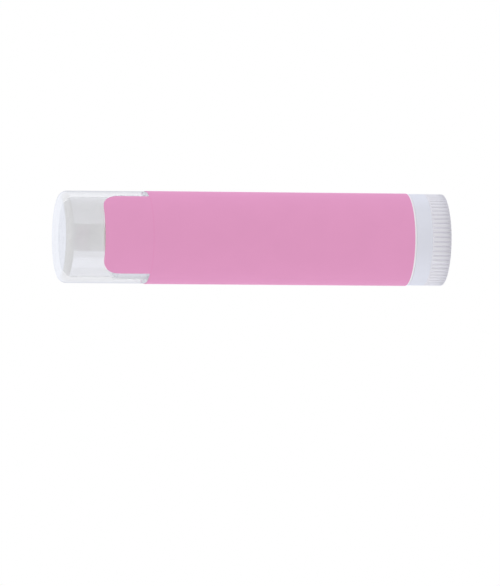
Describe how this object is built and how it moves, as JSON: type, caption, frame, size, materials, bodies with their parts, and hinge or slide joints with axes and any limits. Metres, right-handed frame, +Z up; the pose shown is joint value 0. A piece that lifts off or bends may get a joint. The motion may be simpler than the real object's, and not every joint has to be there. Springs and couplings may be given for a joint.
{
  "type": "lip balm stick",
  "caption": "Twist-up lip balm stick with a clear pull-off cap, a pink film label with a seal tab over the cap, and a grooved dial that lifts the balm.",
  "frame": {"origin": "centre of the dial's flat foot, on the stick's axis", "axes": "+Z up the axis from the dial to the cap's crown, -Y towards the seal tab"},
  "size_m": [0.0162, 0.0162, 0.0682],
  "materials": {
    "dial_plastic": "satin moulded polypropylene, bluish white",
    "tube_plastic": "satin moulded polypropylene, white",
    "carrier_plastic": "matt moulded polypropylene, white",
    "balm_wax": "soft waxy sheen, ivory",
    "cap_plastic": "clear glossy polypropylene with a faint milky tint",
    "label_film": "satin pink film",
    "tab_film": "satin pink film, the same film as the label"
  },
  "bodies": {
    "barrel": {"tube": "tube_plastic", "wrap_label": "label_film"},
    "dial": {"dial_spindle": "dial_plastic"},
    "carrier": {"carrier_cup": "carrier_plastic", "balm_stick": "balm_wax"},
    "cap": {"cap": "cap_plastic", "seal_tab": "tab_film"}
  },
  "joints": [
    {"name": "dial_turn", "type": "hinge", "parent": "barrel", "child": "dial", "pos_m": [0, 0, 0], "axis": [0, 0, 1], "range_deg": [0, 4320]},
    {"name": "carrier_rise", "type": "slide", "parent": "barrel", "child": "carrier", "axis": [0, 0, 1], "range_m": [0, 0.042]},
    {"name": "cap_pull", "type": "slide", "parent": "carrier", "child": "cap", "axis": [0, 0, 1], "range_m": [0, 0.03]}
  ],
  "couplings": [
    {"joint": "dial_turn", "follows": "carrier_rise", "rad_per_m": 1795.2}
  ]
}
